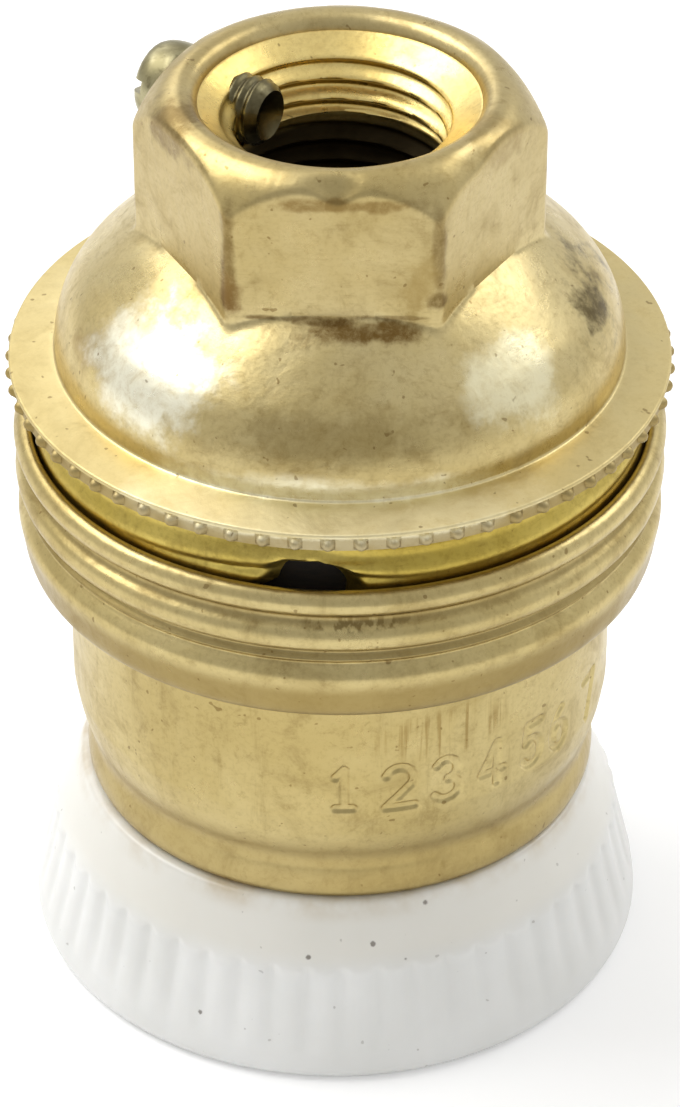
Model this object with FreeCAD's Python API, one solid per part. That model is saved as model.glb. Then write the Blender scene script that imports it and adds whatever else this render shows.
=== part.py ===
"""Small Edison screw (E14) metal-clad lamp holder with a threaded entry and a porcelain ring.

Millimetres, +Z up. The origin is the centre of the porcelain ring's lower edge. The lamp screws in
from below, and the M10x1 entry is at the top. Angles are in degrees, counter-clockwise from +X
seen from above, and the holder's front is -Y.
"""
import math
import os

import FreeCAD, Part

V = FreeCAD.Vector
UP = V(0, 0, 1)

# ---------------------------------------------------------------- clearances
running_gap = 0.06        # radial, a thread or a shaft that turns in its hole
seat_gap = 0.03           # between pieces that seat on each other and don't move
loose_gap = 0.35          # round a piece that is trapped loosely
core_clear = 0.55         # round the core's body in the barrel
cup_clear = 0.4           # round the core's cup in the ring's bore
collar_clear = 0.65       # round the ring's collar in the barrel
tower_clear = 1.68        # from the core's tower to the skirt, for the liner and the wires

# ---------------------------------------------------------------- cap: pressed brass sheet
cap_sheet = 0.5           # wall of the pressed cap
flange_overhang = 0.25    # the hemmed flange stands this far past the barrel's ridges
flange_z = 29.58          # underside of the flange
flange_thick = 0.68       # two thicknesses of sheet folded flat
flange_round = 0.2
serration_count = 66
serration_depth = 0.22
serration_high = 0.3      # lower part of the flange's edge that they cover
serration_tip_gap = 0.04  # their tips, inside the flange's edge
dome_step = 0.58          # the bell shaped dome's widest radius is this far inside the skirt
bulge_round = 4.2         # its shoulder
bulge_z = 30.9            # height of the shoulder's centre
foot_round = 0.45         # fillet where the dome meets the flange
waist_round = 5.5         # hollow between the dome and the neck
waist_z = 36.5            # where the neck's flats start
neck_af = 15.2            # hexagonal neck across the flats
neck_corner_round = 0.9
neck_top_z = 42.87
neck_cone_slope = 0.74    # fall of the coned top for each millimetre of radius
neck_cone_r = 6.75        # where the cone leaves the rolled lip
mouth_r = 6.05            # opening inside the rolled lip
mouth_flare = 0.12        # the lip's inner edge leans outwards by this
lip_round = 0.4

# ---------------------------------------------------------------- cap skirt with its rolled thread
thread_pitch = 2.0        # cap to barrel, rolled
skirt_crest_r = 13.33
skirt_thread_deep = 0.35
skirt_sheet = 0.4
slot_angle = -95          # middle of the slot in the skirt
slot_width = 3.6
slot_top_gap = 0.55       # skirt left above the slot
skirt_crest_drop = 1.5    # first crest below the flange

# ---------------------------------------------------------------- threaded bush, M10x1
entry_r = 4.46            # thread crests, the free bore
entry_chamfer = 1.5       # radial width of the lead-in
entry_chamfer_drop = 1.0
bush_bottom_z = 34.3
bush_play = 0.05
relief_z = 38.3           # groove that parts the thread below the set screw
relief_width = 0.6
relief_r = 4.75

# ---------------------------------------------------------------- set screw, M3
set_screw_angle = 150
set_screw_z = 40.45
set_screw_r = 1.47
set_screw_tip = 3.8       # distance of the tip from the bore's axis
set_screw_head_r = 2.15
set_screw_head = 2.25
set_screw_slot = 0.55
set_screw_slot_deep = 0.7

# ---------------------------------------------------------------- barrel: pressed brass sheet
barrel_sheet = 0.4
rim_z = 27.07
rim_inset = 0.04          # the rim and the band's foot, inside the valleys
ridge_height = 0.46
ridge_count = 3
ridge_rim_share = 0.25    # the rim takes this share of a ridge's pitch
ridge_first_share = 0.85  # and the first ridge is narrower by the rest
band_foot = 0.35          # plain edge under the last ridge
band_bottom_z = 20.35     # step down to the plain cylinder
band_corner = 0.35
curl_z = 14.2             # where the cylinder starts to curl in
curl_in = 0.6             # how far in from the cylinder each part of the curl lies
curl_swell = 0.12
groove_in = 0.9
groove_foot_in = 0.65
bead_in = 0.5
bottom_in = 0.65
groove_z = 10.5
groove_half = 0.75
barrel_bottom_z = 8.6

# ---------------------------------------------------------------- porcelain ring
ring_shift_x = -0.2       # it hangs loosely in the barrel, off centre at rest
ring_top_out = 0.2        # the ring's top edge, outside the barrel's lower end
ring_shoulder_out = 1.05  # and its shoulder outside that
ring_shoulder_swell = (0.5, 1.55)   # middle of the round flank: outwards, and above the shoulder
ring_shoulder_z = 5.8
ring_foot_in = 0.25       # the foot is this far inside the barrel's ridges
ring_foot_z = 0.9
ring_foot_wall = 2.0
ring_bore_bottom_z = 7.0    # the bore opens out below this
ring_collar_height = 2.2
ring_flare_swell = 0.325   # the flared inside bulges by this
ring_edge = 0.45
flute_count = 52
flute_depth = 0.22
flute_width = 0.62
flute_bottom_z = 1.2       # where a flute has faded out
flute_shoulder_gap = 0.5

# ---------------------------------------------------------------- porcelain core
core_flange = 2.65
core_body_r = 11.1
core_body_z = 15.2
core_cup_wall = 1.35
core_cup_bottom_z = 3.0
core_web = 3.6            # porcelain above the lamp's well
core_tower = 3.6
pocket_half = 3.1
pocket_inner_x = 3.3
key_width = 2.4
key_height = 2.0
core_bevel = 0.3
core_hollow_r = 2.9       # hollow between the pockets, where the wires come down
core_hollow_floor = 0.9
key_out = 0.15            # the key's face, inside the core's flange
key_deep = 1.2

# ---------------------------------------------------------------- lamp thread shell, E14
lamp_pitch = 2.822
lamp_crest_r = 6.2        # narrowest, at the shell's inward crests
lamp_root_r = 7.0         # widest, inside
shell_sheet = 0.3
shell_turns = 3
shell_bottom_z = 3.35
shell_crest_flat = 0.5
shell_gap = 0.1           # to the porcelain well
shell_floor_r = 3.9       # hole in the shell's floor round the centre contact

# ---------------------------------------------------------------- contacts and terminals
terminal_x = 6.0
terminal_size = 4.6
terminal_height = 5.4
wire_hole_r = 1.2
wire_hole_deep = 4.2
terminal_screw_r = 1.22
terminal_screw_head_r = 1.9
terminal_screw_head = 1.2
terminal_screw_out = 0.9  # gap under the head at rest
terminal_screw_up = 3.2   # above the terminal's foot
terminal_screw_tip = 0.3  # reach into the wire hole at rest
terminal_bevel = 0.3
wire_hole_x = 6.4
terminal_foot = 1.0       # brass under the wire hole that the fixing screw holds
fixing_x = 5.0            # fixing screws, nearer the axis than the wire holes
fixing_screw_r = 1.0
fixing_head_r = 1.75
fixing_head = 0.8
leaf_thick = 0.3
leaf_width = 3.4
leaf_drop = 2.6
button_r = 1.4
button_height = 0.9

# ---------------------------------------------------------------- liner
liner_thick = 0.35
liner_gap = 0.12

# ---------------------------------------------------------------- worked out
skirt_root_r = skirt_crest_r - skirt_thread_deep
skirt_inner_r = skirt_root_r - skirt_sheet
bulge_r = skirt_root_r - dome_step
bore_r = skirt_crest_r + running_gap
valley_r = bore_r + barrel_sheet
ridge_r = valley_r + ridge_height
rim_r = valley_r - rim_inset
flange_r = ridge_r + flange_overhang
flange_top = flange_z + flange_thick
cylinder_r = core_body_r + core_clear + barrel_sheet
curl_r = cylinder_r - curl_in
groove_r = cylinder_r - groove_in
groove_foot_r = cylinder_r - groove_foot_in
bead_r = cylinder_r - bead_in
barrel_bottom_r = cylinder_r - bottom_in
ring_top_r = barrel_bottom_r + ring_top_out
ring_shoulder_r = ring_top_r + ring_shoulder_out
ring_foot_r = ridge_r - ring_foot_in
ring_foot_inner_r = ring_foot_r - ring_foot_wall
ring_collar_r = cylinder_r - barrel_sheet - collar_clear
core_flange_r = bore_r - loose_gap
core_tower_r = skirt_inner_r - tower_clear
neck_flat = neck_af / 2
ledge_z = band_bottom_z + barrel_sheet
core_flange_top = ledge_z + seat_gap + core_flange
skirt_bottom = core_flange_top + seat_gap
well_r = lamp_root_r + shell_sheet + shell_gap
core_cup_r = well_r + core_cup_wall
ring_bore_r = core_cup_r + cup_clear
ring_wall_inner_r = (ring_bore_r + ring_foot_inner_r) / 2 + ring_flare_swell
well_top = core_flange_top - core_web
shell_top = well_top - seat_gap


# ---------------------------------------------------------------- helpers
def outline(start, *steps):
    """Closed face in the XZ plane. A step is (r, z), or ((r, z), (r, z)) for an arc by its middle."""
    edges = []
    here = V(start[0], 0, start[1])
    for step in steps + (start,):
        is_arc = isinstance(step[0], tuple)
        end = step[1] if is_arc else step
        there = V(end[0], 0, end[1])
        if there.distanceToPoint(here) < 1e-7:
            continue
        if is_arc:
            middle = V(step[0][0], 0, step[0][1])
            edges.append(Part.Arc(here, middle, there).toShape())
        else:
            edges.append(Part.makeLine(here, there))
        here = there
    return Part.Face(Part.Wire(edges))


def turned(start, *steps):
    """Solid of revolution about Z."""
    return outline(start, *steps).revolve(V(0, 0, 0), UP, 360)


def rod(radius, z0, z1, x=0.0, y=0.0):
    return Part.makeCylinder(radius, z1 - z0, V(x, y, z0), UP)


def block(x0, x1, y0, y1, z0, z1):
    return Part.makeBox(x1 - x0, y1 - y0, z1 - z0, V(x0, y0, z0))


def turn(shape, degrees):
    """Copy of a shape turned about Z."""
    copy = shape.copy()
    copy.rotate(V(0, 0, 0), UP, degrees)
    return copy


def ring_of(shape, count):
    """Compound of copies spaced evenly about Z."""
    return Part.makeCompound([turn(shape, 360.0 * i / count) for i in range(count)])


def on_arc(centre, radius, degrees):
    angle = math.radians(degrees)
    return (centre[0] + radius * math.cos(angle), centre[1] + radius * math.sin(angle))


def arc_between(centre, radius, a0, a1):
    """Arc step from angle a0 to a1, for outline."""
    return (on_arc(centre, radius, (a0 + a1) / 2), on_arc(centre, radius, a1))


def meeting_centre(p, rp, q, rq):
    """Point at rp from p and rq from q, on the outer side."""
    dx, dz = q[0] - p[0], q[1] - p[1]
    d = math.hypot(dx, dz)
    along = (rp * rp - rq * rq + d * d) / (2 * d)
    off = math.sqrt(rp * rp - along * along)
    return (p[0] + along * dx / d + off * dz / d, p[1] + along * dz / d - off * dx / d)


def angle_of(centre, point):
    return math.degrees(math.atan2(point[1] - centre[1], point[0] - centre[0]))


# ---------------------------------------------------------------- cap shell
def dome_steps(inset):
    """Outline steps from the dome's foot up to the neck, moved inwards by inset."""
    shoulder = (bulge_r - bulge_round, bulge_z)
    neck_start = (neck_flat, waist_z)
    hollow = meeting_centre(shoulder, bulge_round + waist_round, neck_start, waist_round)
    up = angle_of(shoulder, hollow)
    down = up + 180
    neck_angle = angle_of(hollow, neck_start) % 360
    return [
        on_arc(shoulder, bulge_round - inset, 0),
        arc_between(shoulder, bulge_round - inset, 0, up),
        arc_between(hollow, waist_round + inset, down, neck_angle),
    ]


def neck_blank(inset, z0, z1):
    """Hexagonal neck with a coned top and rounded corners, moved inwards by inset."""
    af = neck_af - 2 * inset
    corner = af / math.sqrt(3)
    points = [V(corner * math.cos(a), corner * math.sin(a), z0)
              for a in (math.radians(60 * i) for i in range(7))]
    prism = Part.Face(Part.makePolygon(points)).extrude(V(0, 0, z1 + 5 - z0))
    uprights = [e for e in prism.Edges if abs(e.tangentAt(e.FirstParameter).z) > 0.99]
    prism = prism.makeFillet(max(neck_corner_round - inset, 0.1), uprights)
    # the cone's own offset is measured square to its slope
    cone_drop = inset * (math.hypot(1, neck_cone_slope) - 1)
    top = z1
    cone_r = neck_cone_r - inset * 0.3
    wide = corner + 2
    cone = turned((0, z0 - 1), (wide, z0 - 1),
                  (wide, top - lip_round - cone_drop - neck_cone_slope * (wide - cone_r)),
                  (cone_r, top - lip_round - cone_drop), (cone_r - lip_round, top), (0, top))
    return prism.common(cone)


def cap_shell():
    """Dome, hexagonal neck, hemmed flange and threaded skirt, pressed from one sheet."""
    r0, r1 = flange_r - flange_round, flange_r
    foot = dome_steps(0)
    steps = [
        (skirt_root_r, flange_z), (r1, flange_z), (r1, flange_top - flange_round),
        (on_arc((r0, flange_top - flange_round), flange_round, 45), (r0, flange_top)),
        (bulge_r + foot_round, flange_top),
        (on_arc((bulge_r + foot_round, flange_top + foot_round), foot_round, 225),
         (bulge_r, flange_top + foot_round)),
    ]
    outside = turned((0, skirt_bottom), (skirt_root_r, skirt_bottom), *steps, *foot,
                     (0, waist_z))
    outside = outside.fuse(rolled_skirt_ridges())
    outside = outside.fuse(neck_blank(0, waist_z - 3.2, neck_top_z))
    inside = turned((0, skirt_bottom - 1), (skirt_inner_r, skirt_bottom - 1),
                    (skirt_inner_r, flange_z + flange_thick / 2),
                    (bulge_r - cap_sheet, flange_top + 0.1), *dome_steps(cap_sheet),
                    (0, waist_z - cap_sheet))
    inside = inside.fuse(neck_blank(cap_sheet, bush_bottom_z - 2, neck_top_z - cap_sheet))
    lip_z = neck_top_z - cap_sheet
    inside = inside.fuse(turned((0, lip_z - 3), (mouth_r, lip_z - 3), (mouth_r, lip_z - 1),
                                (mouth_r + mouth_flare, neck_top_z + 0.1), (0, neck_top_z + 0.1)))
    shell = outside.cut(inside)
    shell = shell.cut(flange_serrations())
    shell = shell.cut(skirt_slot(slot_width, flange_z - slot_top_gap))
    return shell.cut(set_screw_hole(set_screw_r + running_gap)).removeSplitter()


def rolled_skirt_ridges():
    """Rounded crests of the cap's thread, one for each pitch."""
    half = thread_pitch * 0.42
    first = flange_z - skirt_crest_drop
    count = int((first - half - skirt_bottom) / thread_pitch) + 1
    ridges = []
    for i in range(count):
        z = first - i * thread_pitch
        ridges.append(turned((skirt_inner_r + 0.1, z - half), (skirt_root_r, z - half),
                             ((skirt_crest_r, z), (skirt_root_r, z + half)),
                             (skirt_inner_r + 0.1, z + half)))
    return Part.makeCompound(ridges)


def flange_serrations():
    """Ring of waste round the flange's lower edge, with one inward tooth for each notch."""
    points = []
    for i in range(2 * serration_count + 1):
        radius = flange_r - (serration_depth if i % 2 else serration_tip_gap)
        angle = math.pi * i / serration_count
        points.append(V(radius * math.cos(angle), radius * math.sin(angle), flange_z))
    star = Part.Face(Part.makePolygon(points)).extrude(V(0, 0, serration_high))
    return rod(flange_r + 1, flange_z, flange_z + serration_high).cut(star)


def skirt_slot(width, top):
    slot = block(skirt_inner_r - 1, skirt_crest_r + 1, -width / 2, width / 2,
                 skirt_bottom - 1, top)
    return turn(slot, slot_angle)


def set_screw_hole(radius):
    """Tool for the hole along the set screw's axis, from inside the bore outwards."""
    return turn(Part.makeCylinder(radius, 20, V(1, 0, set_screw_z), V(1, 0, 0)), set_screw_angle)


# ---------------------------------------------------------------- bush and set screw
def threaded_bush():
    """Hexagonal brass nut held in the neck, with the entry thread's free bore."""
    top = neck_top_z - cap_sheet - bush_play
    nut = neck_blank(cap_sheet + bush_play, bush_bottom_z, top)
    mouth = turned((0, bush_bottom_z - 1), (entry_r, bush_bottom_z - 1),
                   (entry_r, relief_z), (relief_r, relief_z), (relief_r, relief_z + relief_width),
                   (entry_r, relief_z + relief_width), (entry_r, top - entry_chamfer_drop),
                   (entry_r + entry_chamfer, top), (entry_r + entry_chamfer, top + 1),
                   (0, top + 1))
    nut = nut.cut(mouth)
    return nut.cut(set_screw_hole(set_screw_r + running_gap))


def set_screw():
    """Cheese head screw that locks the threaded tube in the entry."""
    head_from = neck_flat + seat_gap
    head_to = head_from + set_screw_head
    crown = 0.25
    point = 0.4
    body = turned((0, set_screw_tip), (set_screw_r - point, set_screw_tip),
                  (set_screw_r, set_screw_tip + point), (set_screw_r, head_from),
                  (set_screw_head_r, head_from), (set_screw_head_r, head_to - crown),
                  ((set_screw_head_r - crown * 0.3, head_to - crown * 0.3),
                   (set_screw_head_r - crown, head_to)), (0, head_to))
    body = body.cut(block(-5, 5, -set_screw_slot / 2, set_screw_slot / 2,
                          head_to - set_screw_slot_deep, head_to + 1))
    body.rotate(V(0, 0, 0), V(0, 1, 0), 90)
    body.translate(V(0, 0, set_screw_z))
    return turn(body, set_screw_angle)


# ---------------------------------------------------------------- barrel
def barrel():
    """Ridged band that screws on the cap, plain cylinder, and the curl that holds the ring."""
    pitch = (rim_z - band_bottom_z - band_foot) / (ridge_count + ridge_rim_share)
    steps = []
    z = rim_z
    for i in range(ridge_count):
        low = z - pitch * (ridge_first_share if i == 0 else 1.0)
        steps.append(((ridge_r, (z + low) / 2), (valley_r, low)))
        z = low
    wall_in = cylinder_r - barrel_sheet
    curl_mid_z = (curl_z + groove_z + groove_half) / 2
    bead_z = (groove_z - groove_half + barrel_bottom_z) / 2
    steps += [
        (rim_r, band_bottom_z + band_corner),
        (on_arc((rim_r - band_corner, band_bottom_z + band_corner), band_corner, -45),
         (rim_r - band_corner, band_bottom_z)),
        (cylinder_r, band_bottom_z), (cylinder_r, curl_z),
        ((cylinder_r - curl_swell, curl_mid_z), (curl_r, groove_z + groove_half)),
        ((groove_r, groove_z), (groove_foot_r, groove_z - groove_half)),
        ((bead_r, bead_z), (barrel_bottom_r, barrel_bottom_z)),
        (barrel_bottom_r - barrel_sheet, barrel_bottom_z),
        ((bead_r - barrel_sheet, bead_z),
         (groove_foot_r - barrel_sheet, groove_z - groove_half)),
        ((groove_r - barrel_sheet, groove_z), (curl_r - barrel_sheet, groove_z + groove_half)),
        ((wall_in - curl_swell, curl_mid_z), (wall_in, curl_z)),
        (wall_in, ledge_z), (bore_r, ledge_z),
    ]
    return turned((bore_r, rim_z), (rim_r, rim_z), *steps)


# ---------------------------------------------------------------- porcelain ring
def porcelain_ring():
    """Glazed ring whose collar is trapped above the groove rolled into the barrel."""
    neck_r = groove_r - barrel_sheet - loose_gap
    shoulder_z = barrel_bottom_z - seat_gap
    collar_bottom = groove_z + groove_half + loose_gap / 3
    collar_wide = collar_bottom + ring_collar_r - neck_r
    collar_top = collar_bottom + ring_collar_height
    edge = ring_edge
    inner_mid_z = (ring_bore_bottom_z + edge) / 2 - ring_flare_swell
    foot = (ring_foot_r - ring_foot_z, ring_foot_z)
    swell_r = ring_top_r + ring_shoulder_swell[0]
    swell_z = ring_shoulder_z + ring_shoulder_swell[1]
    body = turned(
        (ring_bore_r, ring_bore_bottom_z),
        ((ring_wall_inner_r, inner_mid_z), (ring_foot_inner_r, edge)),
        (ring_foot_inner_r + edge, 0), (foot[0], 0), arc_between(foot, ring_foot_z, -90, 0),
        (ring_shoulder_r, ring_shoulder_z),
        ((swell_r, swell_z), (ring_top_r, shoulder_z)),
        (neck_r, shoulder_z), (neck_r, collar_bottom),
        (ring_collar_r, collar_wide), (ring_collar_r, collar_top - edge),
        (ring_collar_r - edge, collar_top), (ring_bore_r, collar_top))
    body = body.cut(ring_flutes())
    body.translate(V(ring_shift_x, 0, 0))
    return body


def ring_flutes():
    """Hollow flutes down the flare, deepest under the shoulder and faded out at the foot."""
    radius = (flute_width ** 2 / 4 + flute_depth ** 2) / (2 * flute_depth)
    top = ring_shoulder_z - flute_shoulder_gap
    flare = (ring_foot_r - ring_shoulder_r) / (ring_shoulder_z - ring_foot_z)
    top_r = ring_shoulder_r + flare * (ring_shoulder_z - top) + radius - flute_depth
    bottom_r = ring_foot_r - flare * (flute_bottom_z - ring_foot_z) + radius
    lean = V(bottom_r - top_r, 0, flute_bottom_z - top)
    flute = Part.makeCylinder(radius, lean.Length * 1.2, V(top_r, 0, top), lean)
    flute = flute.common(rod(ring_foot_r + 2, 0, top))
    return ring_of(flute, flute_count)


# ---------------------------------------------------------------- porcelain core
def porcelain_core():
    """Insulator that carries both contacts, clamped between the cap's skirt and the ledge."""
    flange_bottom = ledge_z + seat_gap
    tower_top = core_flange_top + core_tower
    body = turned(
        (well_r, core_cup_bottom_z + core_bevel), (well_r + core_bevel, core_cup_bottom_z),
        (core_cup_r - core_bevel, core_cup_bottom_z), (core_cup_r, core_cup_bottom_z + core_bevel),
        (core_cup_r, core_body_z), (core_body_r - core_bevel, core_body_z),
        (core_body_r, core_body_z + core_bevel),
        (core_body_r, flange_bottom), (core_flange_r, flange_bottom),
        (core_flange_r, core_flange_top), (core_tower_r, core_flange_top),
        (core_tower_r, tower_top), (0, tower_top), (0, well_top), (well_r, well_top))
    for side in (1, -1):
        x0, x1 = sorted((side * pocket_inner_x, side * core_flange_r))
        body = body.cut(block(x0, x1, -pocket_half, pocket_half, core_flange_top, tower_top + 1))
        body = body.cut(rod(fixing_screw_r + seat_gap, well_top - 1, core_flange_top + 1,
                            side * fixing_x))
    body = body.cut(rod(core_hollow_r, core_flange_top + core_hollow_floor, tower_top + 1))
    key = block(skirt_inner_r - key_deep, core_flange_r - key_out, -key_width / 2, key_width / 2,
                core_flange_top - core_bevel, core_flange_top + key_height)
    return body.fuse(turn(key, slot_angle)).removeSplitter()


# ---------------------------------------------------------------- lamp thread shell
def lamp_shell():
    """Rolled thread shell for the lamp, with an inward floor that its screw holds."""
    step = lamp_pitch
    outer = [(lamp_root_r + shell_sheet, shell_top)]
    inner = [(lamp_root_r, shell_top - shell_sheet)]
    mid = (lamp_root_r - lamp_crest_r)
    z = shell_bottom_z + 0.2 + shell_turns * step
    flat = shell_crest_flat / 2
    for i in range(shell_turns):
        crest = z - step / 2
        for chain, grow in ((outer, shell_sheet), (inner, 0.0)):
            chain.append((lamp_root_r + grow, z))
            chain.append((lamp_crest_r + grow + mid * 0.15, crest + flat + 0.35))
            chain.append((lamp_crest_r + grow, crest + flat))
            chain.append((lamp_crest_r + grow, crest - flat))
            chain.append((lamp_crest_r + grow + mid * 0.15, crest - flat - 0.35))
            chain.append((lamp_root_r + grow, z - step + 0.3))
        z -= step
    end = shell_bottom_z
    outer.append((lamp_root_r + shell_sheet, end))
    inner.append((lamp_root_r, end))
    points = outer + inner[::-1] + [(shell_floor_r, shell_top - shell_sheet),
                                    (shell_floor_r, shell_top)]
    shell = turned(points[0], *points[1:])
    # the floor is cut away round the centre contact's foot
    shell = shell.cut(block(0, lamp_crest_r + 0.3, -leaf_width / 2 - 0.6, leaf_width / 2 + 0.6,
                            shell_top - shell_sheet - 0.01, shell_top + 1))
    return shell.cut(rod(fixing_screw_r + seat_gap, shell_top - 1, shell_top + 1,
                         -fixing_x))


# ---------------------------------------------------------------- contacts and terminals
def terminal(side):
    """Brass pillar terminal: a wire hole from above and a clamping screw from the outside."""
    x = side * terminal_x
    half = terminal_size / 2
    z0 = core_flange_top + seat_gap
    body = block(x - half, x + half, -half, half, z0, z0 + terminal_height)
    body = body.makeChamfer(terminal_bevel, body.Edges)
    body = body.cut(rod(wire_hole_r, z0 + terminal_height - wire_hole_deep,
                        z0 + terminal_height + 1, side * wire_hole_x))
    screw_hole = Part.makeCylinder(terminal_screw_r + running_gap, half + terminal_x,
                                   V(side * wire_hole_x, 0, z0 + terminal_screw_up),
                                   V(side, 0, 0))
    body = body.cut(screw_hole)
    return body.cut(rod(fixing_screw_r + seat_gap, z0 - 1, z0 + terminal_foot,
                        side * fixing_x))


def terminal_screw(side):
    """Cheese head clamping screw, backed off the wire hole by its rest gap."""
    z = core_flange_top + seat_gap + terminal_screw_up
    tip = wire_hole_x + wire_hole_r - terminal_screw_tip
    head_from = terminal_x + terminal_size / 2 + terminal_screw_out
    head_to = head_from + terminal_screw_head
    body = turned((0, tip), (terminal_screw_r, tip), (terminal_screw_r, head_from),
                  (terminal_screw_head_r, head_from), (terminal_screw_head_r, head_to),
                  (0, head_to))
    body = body.cut(block(-5, 5, -0.25, 0.25, head_to - 0.5, head_to + 1))
    body.rotate(V(0, 0, 0), V(0, 1, 0), 90)
    body.translate(V(0, 0, z))
    return body if side > 0 else turn(body, 180)


def fixing_screw(side, under):
    """Screw from the lamp's well up into a terminal, with its head below under."""
    x = side * fixing_x
    top = core_flange_top + seat_gap + terminal_foot - 0.1
    body = rod(fixing_screw_r, under - fixing_head, top, x)
    head = rod(fixing_head_r, under - fixing_head, under, x)
    slot = block(x - 3, x + 3, -0.2, 0.2, under - fixing_head - 1, under - fixing_head + 0.35)
    return body.fuse(head).cut(slot)


def contact_leaf():
    """Spring leaf: a foot under the live screw, a bend, and a tongue to the centre."""
    foot_x = fixing_x
    top = shell_top
    foot = block(foot_x - 1.9, foot_x + 1.9, -leaf_width / 2, leaf_width / 2,
                 top - leaf_thick, top)
    foot = foot.common(rod(lamp_crest_r, top - 1, top + 1))
    x0 = foot_x - 1.9
    tip_z = top - leaf_drop
    tongue = Part.makePolygon([V(x0, 0, top), V(-1.0, 0, tip_z), V(-1.6, 0, tip_z),
                               V(-1.6, 0, tip_z - leaf_thick), V(-1.1, 0, tip_z - leaf_thick),
                               V(x0 + 0.1, 0, top - leaf_thick), V(x0, 0, top)])
    tongue = Part.Face(tongue).extrude(V(0, leaf_width, 0))
    tongue.translate(V(0, -leaf_width / 2, 0))
    leaf = foot.fuse(tongue)
    return leaf.cut(rod(fixing_screw_r + seat_gap, top - 1, top + 1, foot_x)).removeSplitter()


def contact_button():
    """Domed centre contact at the end of the leaf."""
    z = shell_top - leaf_drop - leaf_thick - 0.32
    return turned((0, z - button_height), ((button_r * 0.8, z - button_height * 0.7),
                                           (button_r, z - button_height * 0.3)),
                  (button_r, z), (0, z))


# ---------------------------------------------------------------- liner
def insulating_liner():
    """Pressboard sleeve that keeps stray wire strands off the cap."""
    outer = skirt_inner_r - liner_gap
    z0 = core_flange_top + seat_gap
    sleeve = rod(outer, z0, flange_z).cut(rod(outer - liner_thick, z0 - 1, flange_z + 1))
    return sleeve.cut(skirt_slot(key_width + 2 * loose_gap, z0 + key_height + loose_gap))


# ---------------------------------------------------------------- write one file for each piece
def main():
    os.makedirs("parts", exist_ok=True)
    pieces = {
        "cap_shell": cap_shell(),
        "threaded_bush": threaded_bush(),
        "set_screw": set_screw(),
        "insulating_liner": insulating_liner(),
        "barrel": barrel(),
        "porcelain_ring": porcelain_ring(),
        "porcelain_core": porcelain_core(),
        "lamp_thread_shell": lamp_shell(),
        "contact_leaf": contact_leaf(),
        "centre_contact": contact_button(),
        "live_terminal": terminal(1),
        "neutral_terminal": terminal(-1),
        "live_terminal_screw": terminal_screw(1),
        "neutral_terminal_screw": terminal_screw(-1),
        "leaf_fixing_screw": fixing_screw(1, shell_top - leaf_thick),
        "shell_fixing_screw": fixing_screw(-1, shell_top - shell_sheet),
    }
    for name, shape in pieces.items():
        solids = shape.Solids
        print(name, "solids", len(solids), "valid", shape.isValid(),
              "volume %.2f" % shape.Volume, "box", shape.BoundBox)
        shape.exportStep("parts/%s.step" % name)


main()
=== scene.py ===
# %% [markdown]
# # A small brass lamp holder with a porcelain ring
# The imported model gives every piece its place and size. This file dresses those pieces: the
# pressed brass cap and barrel, the threaded entry, the set screw and the fluted porcelain ring.
# Each shape is a surface worked out with numpy on a grid, because a lamp holder is made of
# turned and pressed parts, and a turned part is one outline carried round an axis.

import math

import bpy
import numpy as np
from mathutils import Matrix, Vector


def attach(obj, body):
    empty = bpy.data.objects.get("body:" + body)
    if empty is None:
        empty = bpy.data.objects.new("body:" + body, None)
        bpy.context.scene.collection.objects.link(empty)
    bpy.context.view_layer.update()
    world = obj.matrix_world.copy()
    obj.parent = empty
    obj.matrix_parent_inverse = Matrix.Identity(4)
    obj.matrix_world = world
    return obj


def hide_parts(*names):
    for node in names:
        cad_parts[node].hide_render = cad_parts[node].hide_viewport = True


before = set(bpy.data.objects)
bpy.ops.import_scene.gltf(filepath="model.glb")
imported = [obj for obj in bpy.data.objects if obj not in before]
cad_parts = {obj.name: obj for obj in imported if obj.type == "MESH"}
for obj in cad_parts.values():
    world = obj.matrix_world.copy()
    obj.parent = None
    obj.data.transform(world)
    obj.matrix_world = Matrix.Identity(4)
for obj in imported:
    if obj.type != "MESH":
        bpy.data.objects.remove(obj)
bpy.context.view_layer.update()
print("nodes", sorted(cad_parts))

# %% [markdown]
# ## Grids that become meshes
# A turned piece is a grid: rows follow its outline and columns go round the axis. The grid is
# made in millimetres as whole arrays, and one function turns it into a mesh in metres. A closed
# outline gives a closed skin. Where the outline ends on the axis, a fan closes the pole.

# %% Make a mesh from a grid
MM = 0.001


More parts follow.
